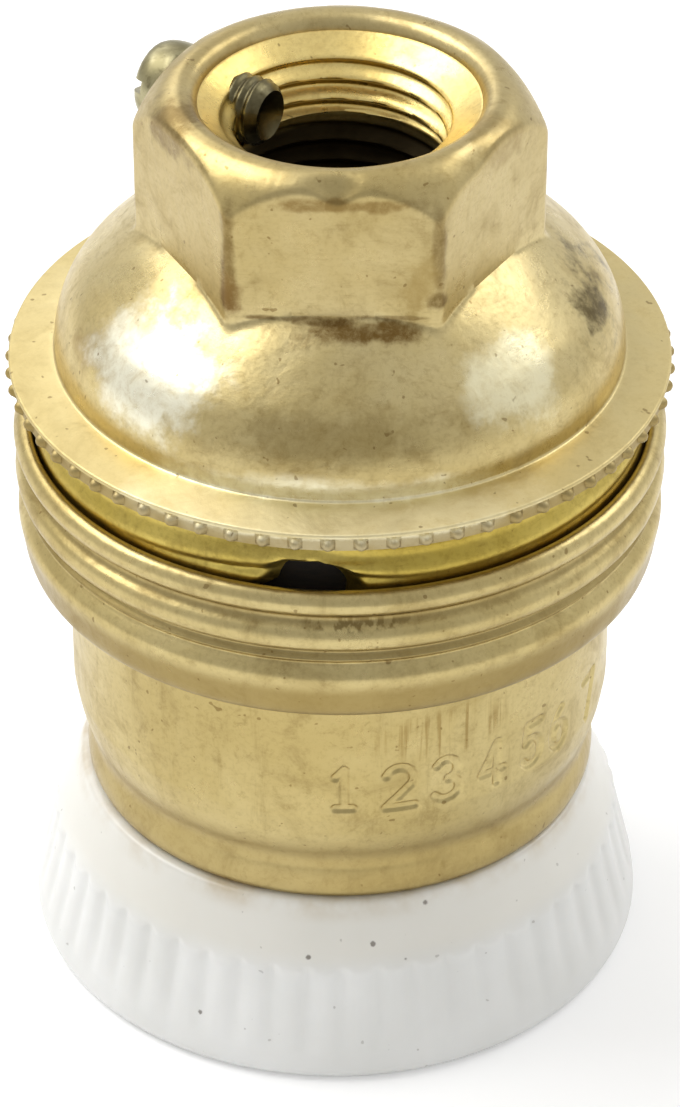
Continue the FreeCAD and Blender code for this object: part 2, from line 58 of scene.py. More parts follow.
def skin(name, grid, material, body="cap", close_rows=True, close_columns=True,
         poles=False, sharp=38):
    """A mesh from a grid of points with the shape (rows, columns, 3), in millimetres. Each cell
    becomes one four-sided face. Its faces are turned outwards by the sign of its volume, which
    is a sixth of the sum of corner a times the cross product of corners b and c."""
    rows, columns = grid.shape[:2]
    index = np.arange(rows * columns).reshape(rows, columns)
    below = np.roll(index, -1, 0)
    if not close_rows:
        index, below = index[:-1], below[:-1]
    beside, below_beside = np.roll(index, -1, 1), np.roll(below, -1, 1)
    faces = np.stack([index, below, below_beside, beside], -1)
    if not close_columns:
        faces = faces[:, :-1]
    faces = faces.reshape(-1, 4)
    points = grid.reshape(-1, 3)
    fans = np.zeros((0, 3), int)
    if poles:
        ends = np.stack([grid[0].mean(0), grid[-1].mean(0)])
        first, last = len(points), len(points) + 1
        points = np.vstack([points, ends])
        top = np.arange(columns)
        low = top + (rows - 1) * columns
        fans = np.vstack([
            np.stack([np.full(columns, first), top, np.roll(top, -1)], 1),
            np.stack([np.full(columns, last), np.roll(low, -1), low], 1)])
    if not close_columns and close_rows:
        half = rows // 2
        up, down = np.arange(half - 1), rows - 1 - np.arange(half - 1)
        start = np.stack([up * columns, (up + 1) * columns, (down - 1) * columns,
                          down * columns], 1)
        stop = start[:, ::-1] + columns - 1
        faces = np.vstack([faces, start[:, ::-1], stop[:, ::-1]])
    a, b, c, d = (points[faces[:, k]] for k in range(4))
    volume = np.einsum("ij,ij->", a, np.cross(b, c)) + np.einsum("ij,ij->", a, np.cross(c, d))
    if volume < 0:
        faces, fans = faces[:, ::-1], fans[:, ::-1]
    mesh = bpy.data.meshes.new(name)
    mesh.from_pydata((points * MM).tolist(), [], faces.tolist() + fans.tolist())
    mesh.polygons.foreach_set("use_smooth", np.ones(len(mesh.polygons), bool))
    mesh.set_sharp_from_angle(angle=math.radians(sharp))
    mesh.materials.append(material)
    piece = bpy.data.objects.new(name, mesh)
    bpy.context.scene.collection.objects.link(piece)
    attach(piece, body)
    print(name, "faces", len(mesh.polygons))
    return piece


# %% Outlines
def arc(centre, radius, start, stop, count=10):
    """Points on a circle: centre plus radius times cosine and sine, from start to stop degrees."""
    angle = np.radians(np.linspace(start, stop, count))
    return np.stack([centre[0] + radius * np.cos(angle), centre[1] + radius * np.sin(angle)], 1)


def straight(start, stop, count=2):
    """Evenly spaced points from start to stop."""
    share = np.linspace(0, 1, count)[:, None]
    return np.array(start) * (1 - share) + np.array(stop) * share


def flow(points, count=6):
    """A smooth line through the points, a Catmull-Rom curve: between two points it is a cubic
    whose slope at each point runs parallel to the line between that point's two neighbours."""
    p = np.array(points, float)
    p = np.vstack([2 * p[0] - p[1], p, 2 * p[-1] - p[-2]])
    t = np.linspace(0, 1, count, endpoint=False)[None, :, None]
    a, b, c, d = (p[k:len(p) - 3 + k][:, None, :] for k in range(4))
    curve = 0.5 * (2 * b + (c - a) * t + (2 * a - 5 * b + 4 * c - d) * t ** 2
                   + (3 * b - a - 3 * c + d) * t ** 3)
    return np.vstack([curve.reshape(-1, 2), p[-2]])


def turn_rows(radius, height, angle):
    """Grid of a turned shape: x is radius times cosine, y radius times sine, z the height."""
    radius, height, angle = np.broadcast_arrays(radius, height, angle)
    return np.stack([radius * np.cos(angle), radius * np.sin(angle), height], -1)


def round_about(count):
    """Angles of count columns all the way round, as one row."""
    return np.linspace(0, 2 * math.pi, count, endpoint=False)[None, :]


def soft_max(a, b, width):
    """The larger of a and b, with a fillet where they cross: max plus h squared times width over
    4, where h falls from 1 where they are equal to 0 where they differ by width."""
    h = np.clip(1 - np.abs(a - b) / width, 0, 1)
    return np.maximum(a, b) + h * h * width / 4


def ramp(x, low, high):
    """Smooth step from 0 at low to 1 at high: t squared times (3 minus 2 t)."""
    t = np.clip((x - low) / (high - low), 0, 1)
    return t * t * (3 - 2 * t)


# %% [markdown]
# ## Finishes
# Pressed brass is pale and satin, with brownish tarnish that gathers in patches and hollows,
# fine scratches along the way it was spun, and a few dark specks. Some patches and bands are
# painted light instead: some pale ones are painted highlights, some dark ones painted shade. One
# function lays these over each other, so that the cap, the barrel and the bush differ only in
# their numbers.

# %% A small kit for nodes
def paint(red, green, blue):
    """Colour from 0-255 screen values to linear light."""
    c = np.array([red, green, blue]) / 255
    c = np.where(c <= 0.04045, c / 12.92, ((c + 0.055) / 1.055) ** 2.4)
    return (*c.tolist(), 1.0)


class Nodes:
    """Short words for building a material's nodes."""

    def __init__(self, material):
        material.use_nodes = True
        self.tree = material.node_tree
        self.shader = self.tree.nodes["Principled BSDF"]
        self.where = self.tree.nodes.new("ShaderNodeTexCoord").outputs["Object"]
        parts = self.tree.nodes.new("ShaderNodeSeparateXYZ")
        self.put(parts.inputs[0], self.where)
        self.height_above = parts.outputs["Z"]

    def put(self, socket, value):
        """Link a socket to another, or set it to a constant."""
        if isinstance(value, bpy.types.NodeSocket):
            self.tree.links.new(value, socket)
        else:
            socket.default_value = value

    def moved(self, scale=(1, 1, 1), place=(0, 0, 0)):
        """The piece's own coordinates times scale, plus place."""
        node = self.tree.nodes.new("ShaderNodeMapping")
        self.put(node.inputs["Vector"], self.where)
        self.put(node.inputs["Scale"], scale)
        self.put(node.inputs["Location"], place)
        return node.outputs["Vector"]

    def noise(self, scale, detail=4, rough=0.55, vector=None, bend=0.0):
        """Fractal noise from 0 to 1, with scale cells to the metre."""
        node = self.tree.nodes.new("ShaderNodeTexNoise")
        self.put(node.inputs["Vector"], vector or self.where)
        self.put(node.inputs["Scale"], scale)
        self.put(node.inputs["Detail"], detail)
        self.put(node.inputs["Roughness"], rough)
        self.put(node.inputs["Distortion"], bend)
        return node.outputs["Fac"]

    def step(self, value, low, high, out_low=0.0, out_high=1.0):
        """Smooth step: out_low while value is under low, out_high once it is over high."""
        node = self.tree.nodes.new("ShaderNodeMapRange")
        node.interpolation_type = "SMOOTHSTEP"
        for name, v in (("Value", value), ("From Min", low), ("From Max", high),
                        ("To Min", out_low), ("To Max", out_high)):
            self.put(node.inputs[name], v)
        return node.outputs["Result"]

    def sum(self, kind, a, b):
        """a and b put together by kind, such as ADD or MULTIPLY."""
        node = self.tree.nodes.new("ShaderNodeMath")
        node.operation = kind
        self.put(node.inputs[0], a)
        self.put(node.inputs[1], b)
        return node.outputs[0]

    def mix(self, share, a, b):
        """Colour a where share is 0, and b where it is 1."""
        node = self.tree.nodes.new("ShaderNodeMix")
        node.data_type = "RGBA"
        self.put(node.inputs[0], share)
        self.put(node.inputs[6], a)
        self.put(node.inputs[7], b)
        return node.outputs[2]

    def away(self, centre, reach):
        """Distance of a point from centre, each axis divided by its reach: 0 there, 1 at reach."""
        node = self.tree.nodes.new("ShaderNodeVectorMath")
        node.operation = "LENGTH"
        scale = tuple(1 / (r * MM) for r in reach)
        place = tuple(-c / r for c, r in zip(centre, reach))
        self.put(node.inputs[0], self.moved(scale, place))
        return node.outputs["Value"]

    def patch(self, centre, reach, ragged=0.5, scale=400):
        """A ragged patch: 1 near centre, 0 beyond reach, its edge pushed about by noise."""
        push = self.step(self.noise(scale, 5, 0.65), 0.2, 0.8, -ragged, ragged)
        return self.step(self.sum("ADD", self.away(centre, reach), push), 1.1, 0.5)

    def height(self, parts):
        """Bumps laid over each other, each a value, a strength and a depth in metres."""
        normal = None
        for value, strength, depth in parts:
            node = self.tree.nodes.new("ShaderNodeBump")
            node.inputs["Strength"].default_value = strength
            node.inputs["Distance"].default_value = depth
            self.put(node.inputs["Height"], value)
            if normal:
                self.put(node.inputs["Normal"], normal)
            normal = node.outputs["Normal"]
        return normal


# %% Brass
PALE, WARM, BROWN = paint(212, 195, 144), paint(201, 181, 124), paint(132, 108, 58)
DEEP, SPECK_BROWN, BORE_PAINTED_SHADE = paint(88, 62, 24), paint(112, 84, 38), paint(52, 44, 29)
VALLEY_BROWN = paint(124, 102, 56)


def brass(name, clean, worn, tarnish, patches=(), amount=0.5, rough=0.3, grain=(1, 1, 7),
          streaks=(), bands=(), dark_below=None, brushed_below=None):
    """Satin brass. Two pale tones are mixed by broad noise. Brown tarnish follows noise at three
    finer sizes. Ragged patches, rows of streaks and bands between two heights lay other tones
    over it: some are tarnish, some painted highlight and some painted shade. The bump is fine
    scratches over a slight waviness. Below dark_below, a height, the metal is near black, painted
    shade deep in a bore, and below brushed_below it is brushed and duller.

    A patch is its centre, its reach, its tone, its strength and how ragged its edge is. A streak
    is the same without the last, and a band is its two heights, its tone and its strength."""
    material = bpy.data.materials.new(name)
    n = Nodes(material)
    broad = n.noise(110, 5, 0.6, bend=0.4)
    cloud = n.noise(420, 8, 0.7, bend=0.6)
    grit = n.noise(1500, 6, 0.75, bend=0.4)
    fine = n.noise(4200, 3, 0.6)
    scratch = n.noise(900, 5, 0.75, vector=n.moved(grain))
    colour = n.mix(n.step(broad, 0.35, 0.68), clean, worn)
    colour = n.mix(n.sum("MULTIPLY", n.step(cloud, 0.47, 0.74), amount), colour, tarnish)
    colour = n.mix(n.sum("MULTIPLY", n.step(grit, 0.52, 0.72), amount * 0.8), colour, tarnish)
    colour = n.mix(n.sum("MULTIPLY", n.step(fine, 0.45, 0.75), 0.2), colour, tarnish)
    colour = n.mix(n.sum("MULTIPLY", n.step(scratch, 0.54, 0.72), 0.22), colour, tarnish)
    for centre, reach, tone, strength, ragged in patches:
        share = n.sum("MULTIPLY", n.patch(centre, reach, ragged), strength)
        colour = n.mix(n.sum("MULTIPLY", share, n.step(grit, 0.2, 0.6, 0.35, 1.0)), colour, tone)
    for centre, reach, tone, strength in streaks:
        lines = n.step(n.noise(3300, 2, 0.5, vector=n.moved((1, 1, 0.05))), 0.47, 0.62)
        share = n.sum("MULTIPLY", n.sum("MULTIPLY", n.patch(centre, reach, 0.3), lines), strength)
        colour = n.mix(share, colour, tone)
    level = n.sum("ADD", n.height_above, n.step(cloud, 0.3, 0.7, -0.12 * MM, 0.12 * MM))
    for low, high, tone, strength in bands:
        soft = 0.2 * (high - low)
        share = n.sum("MULTIPLY", n.step(level, (low - soft) * MM, (low + soft) * MM),
                      n.step(level, (high + soft) * MM, (high - soft) * MM, 0.0, strength))
        colour = n.mix(share, colour, tone)
    specks = n.sum("MULTIPLY", n.step(n.noise(2600, 1, 0.4), 0.735, 0.78), 0.55)
    colour = n.mix(specks, colour, SPECK_BROWN)
    roughness = n.sum("ADD", n.step(cloud, 0.3, 0.75, rough - 0.04, rough + 0.12),
                      n.step(scratch, 0.45, 0.8, -0.02, 0.06))
    if brushed_below:
        duller = n.step(n.height_above, brushed_below, brushed_below - 0.0003, 0.0, 0.16)
        roughness = n.sum("ADD", roughness, duller)
    # below that height the colour turns near black: painted shade deep in a bore
    if dark_below:
        level = n.sum("ADD", n.height_above, n.step(broad, 0.3, 0.7, -0.0002, 0.0002))
        shade = n.step(level, dark_below + 0.0003, dark_below - 0.0005)
        colour = n.mix(shade, colour, BORE_PAINTED_SHADE)
        roughness = n.sum("ADD", roughness, n.sum("MULTIPLY", shade, 0.4))
    n.put(n.shader.inputs["Base Color"], colour)
    n.shader.inputs["Metallic"].default_value = 1.0
    n.put(n.shader.inputs["Roughness"], roughness)
    n.put(n.shader.inputs["Normal"],
          n.height([(broad, 0.3, 0.0004), (cloud, 0.16, 0.00012), (grit, 0.1, 0.00005),
                    (scratch, 0.15, 0.00003)]))
    return material


# the cap's patches, from the dome's front to the neck's foot, its corners and its crown, then
# pale painted highlights on the dome and the flange
CAP_PATCHES = [
    # partly tarnish, partly painted dark reflection on the dome's front
    ((0.6, -11.2, 32.9), (5.2, 2.6, 1.5), paint(146, 122, 68), 0.45, 0.75),
    ((1.0, -8.3, 36.0), (2.9, 1.4, 0.5), SPECK_BROWN, 0.95, 0.6),
    ((-2.0, -8.0, 36.35), (3.2, 0.9, 0.16), DEEP, 0.8, 0.5),
    ((2.6, -8.0, 36.45), (2.4, 0.9, 0.14), DEEP, 0.6, 0.5),
    ((-4.3, -7.4, 38.6), (0.42, 0.7, 3.4), DEEP, 0.85, 0.4),
    ((-4.3, -7.4, 37.3), (0.6, 0.8, 1.3), paint(108, 74, 34), 0.85, 0.5),
    ((4.3, -7.4, 39.4), (0.36, 0.6, 2.4), DEEP, 0.75, 0.4),
    ((4.25, -7.5, 37.25), (0.6, 0.7, 0.55), DEEP, 0.95, 0.35),
    ((3.5, -7.6, 38.2), (0.9, 0.8, 1.8), paint(160, 136, 80), 0.7, 0.6),
    # painted shade in the crown's dent at the front
    ((0.3, -7.5, 41.75), (3.0, 0.6, 0.34), paint(120, 92, 46), 0.85, 0.5),
    ((-8.4, -6.4, 33.2), (2.6, 2.6, 1.4), paint(160, 130, 72), 0.6, 0.8),
    # painted shade on the crown's left
    ((-7.0, -3.4, 42.2), (2.0, 3.4, 1.1), paint(112, 88, 46), 0.85, 0.6),
    ((6.6, -3.4, 42.2), (1.6, 2.6, 0.9), paint(140, 114, 62), 0.5, 0.7),
    # painted dark reflection on the dome's far right
    ((10.4, -1.4, 33.6), (1.6, 3.0, 1.9), paint(88, 74, 40), 0.9, 0.7),
    # painted highlights: pale patches on the flange's front and on the dome's left and right
    ((0.0, -13.3, 30.3), (12.0, 4.2, 1.3), paint(253, 246, 212), 0.95, 0.25),
    ((-7.4, -7.4, 33.6), (3.6, 3.6, 2.5), paint(250, 246, 222), 0.95, 0.4),
    ((7.4, -8.0, 33.6), (2.4, 2.4, 2.2), paint(246, 238, 200), 0.85, 0.4),
]
# flange, neck and beaded rim; the flange's band keeps its top pale as a painted highlight
CAP_BANDS = [(29.98, 30.52, paint(214, 196, 140), 0.6), (36.9, 43.5, paint(160, 138, 84), 0.35),
             (29.2, 29.9, paint(146, 124, 72), 0.7)]
cap_brass = brass("cap_brass_finish", PALE, WARM, BROWN, patches=CAP_PATCHES, amount=0.42,
                  rough=0.31, bands=CAP_BANDS, brushed_below=0.0305)
# rub marks above the figures, and on the second ridge
BARREL_STREAKS = [((5.4, -10.8, 17.5), (3.6, 4.0, 1.5), paint(144, 116, 60), 0.6),
                  ((1.2, -13.6, 25.35), (3.0, 2.0, 0.34), paint(104, 84, 42), 0.7)]
# the step under the ridges, darkened as painted shade, the two valleys between them, and the
# curled foot
BARREL_BANDS = [(20.2, 22.1, paint(150, 128, 74), 0.75), (23.3, 24.0, VALLEY_BROWN, 0.45),
                (25.2, 25.8, VALLEY_BROWN, 0.45), (8.5, 11.7, paint(160, 138, 86), 0.45)]
barrel_brass = brass("barrel_brass_finish", paint(205, 187, 132), paint(190, 170, 112), BROWN,
                     amount=0.42, rough=0.32, grain=(1, 1, 0.1), streaks=BARREL_STREAKS,
                     bands=BARREL_BANDS)
# the bush is painted near black below 38.6 mm: painted shade deep in the bore
bush_brass = brass("bush_brass_finish", paint(240, 216, 142), paint(228, 200, 118),
                   paint(150, 116, 54), amount=0.3, rough=0.3, dark_below=0.0386)
# the skirt's brass is darker than the cap's: painted shade under the flange
skirt_brass = brass("skirt_brass_finish", paint(206, 184, 98), paint(184, 160, 70),
                    paint(104, 80, 26), amount=0.4, rough=0.34)
contact_brass = brass("contact_brass_finish", paint(222, 198, 128), paint(208, 182, 110),
                      paint(150, 118, 60), amount=0.3, rough=0.24)
spring_brass = brass("spring_brass_finish", paint(226, 196, 122), paint(214, 180, 100),
                     paint(160, 118, 56), amount=0.25, rough=0.2)
terminal_brass = brass("terminal_brass_finish", paint(214, 190, 120), paint(200, 172, 100),
                       paint(146, 114, 58), amount=0.35, rough=0.25)


# %% Plated screws
def plating(name, shaded_places=()):
    """Dull zinc over steel: a greenish grey, cloudy, with fine darker flecks, and near-black
    painted shade at each place and reach it is given."""
    material = bpy.data.materials.new(name)
    n = Nodes(material)
    cloud, fine = n.noise(700, 5, 0.6), n.noise(3000, 2, 0.5)
    colour = n.mix(n.step(cloud, 0.35, 0.65), paint(176, 168, 132), paint(138, 130, 96))
    colour = n.mix(n.sum("MULTIPLY", n.step(fine, 0.55, 0.8), 0.5), colour, paint(84, 74, 48))
    # near-black painted shade at each listed place
    for centre, reach in shaded_places:
        colour = n.mix(n.sum("MULTIPLY", n.patch(centre, reach, 0.3), 0.8), colour,
                       paint(52, 44, 24))
    n.put(n.shader.inputs["Base Color"], colour)
    n.shader.inputs["Metallic"].default_value = 1.0
    n.put(n.shader.inputs["Roughness"], n.step(cloud, 0.3, 0.7, 0.26, 0.42))
    n.put(n.shader.inputs["Normal"], n.height([(cloud, 0.2, 0.0001), (fine, 0.1, 0.00002)]))
    return material


screw_plating = plating("screw_plating_finish")
# painted shade on the set screw's tip, where it stands inside the bore
tip_plating = plating("set_screw_plating_finish", shaded_places=[((-3.7, 2.1, 40.2), (2.4, 2.2, 2.2))])


# %% Porcelain
# dark specks in the ring's clay: where each is, and its size
SPECKS = [((4.18, -11.04, 8.05), 0.15), ((1.88, -12.22, 6.63), 0.13), ((-0.97, -12.56, 6.08), 0.14),
          ((3.34, -12.27, 5.85), 0.1), ((11.41, -7.82, 1.63), 0.15), ((-5.82, -12.32, 2.49), 0.12)]


def porcelain(name, glazed):
    """Fired clay: a clear coat over white where it is glazed, chalky where it isn't, with a few
    small dark specks, a slightly uneven surface, and painted shade, a brown darkening along the
    top edge under the brass foot."""
    material = bpy.data.materials.new(name)
    n = Nodes(material)
    broad, fine = n.noise(160, 3, 0.5), n.noise(1500, 3, 0.5)
    white = paint(240, 240, 237) if glazed else paint(226, 222, 210)
    shade = paint(231, 231, 227) if glazed else paint(206, 200, 184)
    colour = n.mix(n.step(broad, 0.3, 0.7), white, shade)
    if glazed:
        high = n.height_above
        colour = n.mix(n.step(high, 0.0052, 0.0064, 0.0, 0.5), colour, paint(232, 227, 212))
        # browner along the top edge, under the brass foot: painted shade
        edge = n.sum("MULTIPLY", n.step(high, 0.0074, 0.0086),
                     n.step(n.noise(260, 4, 0.6), 0.36, 0.7))
        colour = n.mix(n.sum("MULTIPLY", edge, 0.75), colour, paint(190, 168, 124))
        for centre, size in SPECKS:
            spot = n.patch(centre, (size, size, size), 0.35, 3000)
            colour = n.mix(n.sum("MULTIPLY", spot, 0.75), colour, paint(88, 74, 60))
    dust = n.step(n.noise(2400, 1, 0.3), 0.77, 0.80)
    colour = n.mix(n.sum("MULTIPLY", dust, 0.35), colour, paint(120, 112, 98))
    n.put(n.shader.inputs["Base Color"], colour)
    n.shader.inputs["Roughness"].default_value = 0.3 if glazed else 0.7
    n.shader.inputs["IOR"].default_value = 1.5
    if glazed:
        n.shader.inputs["Coat Weight"].default_value = 0.35
        n.shader.inputs["Coat Roughness"].default_value = 0.16
        n.shader.inputs["Subsurface Weight"].default_value = 0.25
        n.shader.inputs["Subsurface Radius"].default_value = (0.0014, 0.0013, 0.0012)
        n.shader.inputs["Subsurface Scale"].default_value = 1.0
    n.put(n.shader.inputs["Normal"],
          n.height([(broad, 0.25, 0.0005), (fine, 0.08, 0.00005)]))
    return material


glazed_porcelain = porcelain("glazed_porcelain_finish", True)
plain_porcelain = porcelain("plain_porcelain_finish", False)


# %% Pressboard
def pressboard(name):
    """Waxed near-black board: painted shade where it shows through the skirt's slot. Short fibres
    as stretched noise, matt.
    """
    material = bpy.data.materials.new(name)
    n = Nodes(material)
    fibre = n.noise(1200, 4, 0.6, vector=n.moved((1, 1, 4)))
    n.put(n.shader.inputs["Base Color"],
          n.mix(n.step(fibre, 0.3, 0.7), paint(34, 26, 17), paint(22, 17, 11)))
    n.shader.inputs["Roughness"].default_value = 0.85
    n.put(n.shader.inputs["Normal"], n.height([(fibre, 0.3, 0.00004)]))
    return material


# the liner is painted near black so that the slot in the skirt shows as painted shade
liner_shade_board = pressboard("pressboard_painted_shade_finish")

# %% [markdown]
# ## The cap
# The cap is one disc of brass, pressed into a bell with a hexagonal neck and folded double at
# the flange. Its outline from the neck down is turned, and the hexagon is laid over it with a
# soft maximum, because pressed sheet never has a sharp corner at the foot of a flat.

# %% The cap's sizes
NECK_TOP, WAIST, NECK_FLAT, CORNER_ROUND = 42.87, 36.45, 7.6, 0.5
CREST_R, CROWN = 6.7, 0.457
FLANGE_IN, FLANGE_OUT, RIM_LOW, RIM_R = 30.42, 30.18, 29.36, 14.18   # heights, then a radius
FOOT_R, FOOT_ROUND, EDGE_R, EDGE_ROUND = 12.44, 0.14, 14.2, 0.11
SHEET, SKIRT_JOIN = 0.5, 29.08
BEADS, BEAD_Z, BEAD_HALF_WIDE, BEAD_HALF_TALL, BEAD_OUT = 66, 29.66, 0.28, 0.29, 0.3
EDGE_SOFT = 0.26


def hexagon(angle, flat, corner):
    """Radius of a hexagon with rounded corners. On a flat it is the flat's distance over the
    cosine of the angle from the flat's middle. Near a corner it is where the ray leaves a circle
    of the corner's radius: c cosine plus the root of corner squared less c sine squared."""
    phi = np.abs((np.degrees(angle) + 60) % 60 - 30)
    psi = np.radians(30 - phi)
    c = (flat - corner) / math.cos(math.radians(30))
    limit = math.degrees(math.atan((flat - corner) * math.tan(math.radians(30)) / flat))
    bent = c * np.cos(psi) + np.sqrt(np.maximum(corner ** 2 - (c * np.sin(psi)) ** 2, 0))
    return np.where(phi > limit, bent, flat / np.cos(np.radians(phi)))


def dome_line(inset, count):
    """Outline of the bell from its neck down to its foot, moved inwards by inset, with count
    points for each named one."""
    line = flow([(NECK_FLAT, WAIST), (8.2, 36.15), (8.8, 35.76), (9.4, 35.30), (10.0, 34.80),
                 (10.6, 34.27), (11.15, 33.74), (11.6, 33.14), (11.95, 32.48), (12.17, 31.8),
                 (12.28, 31.2), (12.3, 30.81)], count)
    return line - np.array([inset * 0.9, inset * 0.7])


# %% The cap's skin
# ten columns to a bead, closer together across the bead itself
within = np.array([0.0, 0.14, 0.27, 0.36, 0.43, 0.5, 0.57, 0.64, 0.73, 0.86])
around = (2 * math.pi / BEADS * (np.arange(BEADS)[:, None] + within)).reshape(1, -1)
hex_r = hexagon(around, NECK_FLAT, CORNER_ROUND)
# the crown meets the front flat in a dent, as sheet does where the press tool was worn
dent = 0.62 * np.exp(-((np.degrees(around) - 271) / 6.5) ** 2)
dent = dent + 0.3 * np.exp(-((np.degrees(around) - 318) / 9) ** 2)


def crown_z(radius):
    """Height of the neck's crown: it falls from the lip's crest with the square of the way out."""
    return NECK_TOP - CROWN * (radius - CREST_R) ** 2


def cap_rows():
    """Radius and height of each row of the cap, from inside the lip, over the crown, down the
    flats and the bell, round the flange, and back up inside."""
    ones = np.ones_like(around)
    rows = []

    def add(radius, height):
        rows.append((radius * ones, height * ones))

    for r, z in flow([(6.02, 41.35), (5.93, 41.8), (5.93, 42.15), (6.02, 42.46), (6.2, 42.7),
                      (6.43, 42.83), (CREST_R, NECK_TOP)], 3):
        add(r, z)
    # the crown ends in a small round edge: a curve from the crown to the flat, pulled to their
    # corner
    edge_z = crown_z(hex_r) - dent
    slope = 2 * CROWN * (hex_r - CREST_R)
    back = EDGE_SOFT / np.hypot(1, slope)
    top_r, top_z = hex_r - back, edge_z + slope * back
    for share in (0.15, 0.3, 0.45, 0.6, 0.8):
        r = CREST_R + (top_r - CREST_R) * share
        rows.append((r, crown_z(r) - dent * share ** 2))
    for t in np.linspace(0, 1, 7):
        a, b, c = (1 - t) ** 2, 2 * t * (1 - t), t * t
        rows.append((a * top_r + (b + c) * hex_r,
                     a * top_z + b * edge_z + c * (edge_z - EDGE_SOFT)))
    for t in np.linspace(0, 1, 14)[1:]:
        rows.append((hex_r, (edge_z - EDGE_SOFT) * (1 - t) + WAIST * t))
    # the hexagon fades into the dome
    for r, z in dome_line(0, 3)[1:]:
        fade = ramp(z, 34.4, 35.6)
        rows.append((soft_max(r, hex_r * fade + (1 - fade) * 5, 0.3), z * ones))
    for r, z in arc((FOOT_R, FLANGE_IN + FOOT_ROUND), FOOT_ROUND, 180, 264, 5):
        add(r, z)
    for share in np.linspace(0.08, 1, 8):
        add(FOOT_R + (EDGE_R - FOOT_R) * share, FLANGE_IN + (FLANGE_OUT - FLANGE_IN) * share)
    for r, z in arc((EDGE_R, FLANGE_OUT - EDGE_ROUND), EDGE_ROUND, 72, 4, 4):
        add(r, z)
    # the rim is a plain band with a row of round beads standing on it
    beside = ((around * BEADS / (2 * math.pi)) % 1 - 0.5) * 2 * math.pi * RIM_R / BEADS
    for z in np.linspace(FLANGE_OUT - 0.16, RIM_LOW, 13):
        inside = 1 - (beside / BEAD_HALF_WIDE) ** 2 - ((z - BEAD_Z) / BEAD_HALF_TALL) ** 2
        bead = BEAD_OUT * np.sqrt(np.clip(inside, 0, 1))
        lip = 0.14 * ramp(z, 29.9, 30.04)
        rows.append((RIM_R + np.maximum(bead, lip), z * ones))
    add(13.9, RIM_LOW + 0.04)
    add(13.0, RIM_LOW + 0.09)
    add(12.96, SKIRT_JOIN)
    add(12.58, SKIRT_JOIN)
    add(12.55, 29.9)
    add(11.9, 30.5)
    for r, z in dome_line(SHEET, 2)[:0:-1]:
        add(r, z)
    inner_hex = hexagon(around, NECK_FLAT - SHEET, CORNER_ROUND - 0.2)
    for z in (37.0, 40.5):
        rows.append((inner_hex, z * ones))
    add(6.25, 41.3)
    return rows


radii, heights = (np.vstack(part) for part in zip(*cap_rows()))
cap = skin("cap_bell", turn_rows(radii, heights, around), cap_brass, "cap")
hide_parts("cap_shell")

# %% [markdown]
# ## The skirt's rolled thread
# Below the flange the sheet runs on as a thin skirt with a coarse rolled thread. The thread is
# a helix, so the surface's radius depends on height less angle times pitch. A slot takes the
# key of the porcelain, so this skin stops short of a full turn and its two ends are closed.

# %% The skirt
PITCH, CREST_Z = 2.0, 27.15
SKIRT_LOW, SKIRT_TOP = 23.46, 29.2
SKIRT_OUT, SKIRT_IN, SKIRT_MID = 12.97, 12.60, 12.9
SLOT_AT = math.radians(-95)
SLOT_RIGHT, SLOT_LEFT, SLOT_DEEP_DOWN = 1.9, 1.0, 1.8   # half widths at the arch, and below it
ARCH_Z, ARCH_TALL = 26.6, 1.45


def rolled(angle, height, lift):
    """Rolled thread from 0 at its root to 1 at its crest: half of one plus the cosine of the
    height, less the helix's rise, in turns. The crest is raised by lift."""
    turns = (height - CREST_Z - lift) / PITCH - (angle - SLOT_AT) / (2 * math.pi)
    return 0.5 + 0.5 * np.cos(2 * math.pi * turns)


def slot_edge(height, wide):
    """Half width of the slot at a height, as an angle: wide below, then a round arch, which is
    the root of one less the square of the way up to its top."""
    low = ramp(-height, -27.0, -26.2)
    arch = np.sqrt(np.clip(1 - ((height - ARCH_Z) / ARCH_TALL) ** 2, 0, 1))
    return (SLOT_DEEP_DOWN * low + wide * arch * (1 - low)) / SKIRT_MID


down = np.linspace(SKIRT_TOP, SKIRT_LOW, 60)[:, None]
share = np.linspace(0, 1, 460)[None, :]
start = SLOT_AT + slot_edge(down, SLOT_RIGHT)
stop = SLOT_AT - slot_edge(down, SLOT_LEFT) + 2 * math.pi
open_arc = start + (stop - start) * share
on_right, on_left = (open_arc - start) * SKIRT_MID, (stop - open_arc) * SKIRT_MID
# the sheet was pushed up beside the slot when the slot was cut
lift = 0.95 * (np.exp(-on_left / 8.0) + np.exp(-on_right / 1.5))
wave = rolled(open_arc, down, lift)
# at the barrel's mouth the wall stands out again and nearly fills it
wave = soft_max(wave, 0.94 * ramp(down, 27.9, 27.0), 0.2)
wave = wave * ramp(down, SKIRT_TOP + 0.2, SKIRT_TOP - 0.4)
# and right beside the slot it is bent in a little
beside_slot = ramp(np.minimum(on_left, on_right), 0.0, 0.9)
wave = wave * np.maximum(beside_slot, ramp(down, 27.9, 28.2))
tuck = 0.12 * (1 - beside_slot) * ramp(down, 28.2, 27.9)
outside = turn_rows(SKIRT_OUT + 0.40 * wave - tuck, down, open_arc)
inside = turn_rows(SKIRT_IN + 0.38 * wave - tuck, down, open_arc)[::-1]
skirt = skin("cap_skirt", np.vstack([outside, inside]), skirt_brass, "cap",
             close_columns=False)
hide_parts("cap_shell")

# %% [markdown]
# ## The threaded entry
# A hexagonal nut inside the neck takes the threaded tube. Its bore has a fine M10 thread with a
# wide lead-in cone. Thread and cone are two radii at each height, and the larger one is cut.

# %% The bush
ENTRY_PITCH, BORE_R, THREAD_DEPTH = 1.0, 4.46, 0.5
BUSH_LOW, BUSH_TOP, LEAD_IN_Z = 34.3, 42.27, 41.27


def entry_thread(angle, height):
    """Worn thread: between its crests the bore swells by a power of a cosine along the helix."""
    turns = (height - 35.0) / ENTRY_PITCH - angle / (2 * math.pi)
    return BORE_R + THREAD_DEPTH * (0.5 + 0.5 * np.cos(2 * math.pi * turns)) ** 0.8


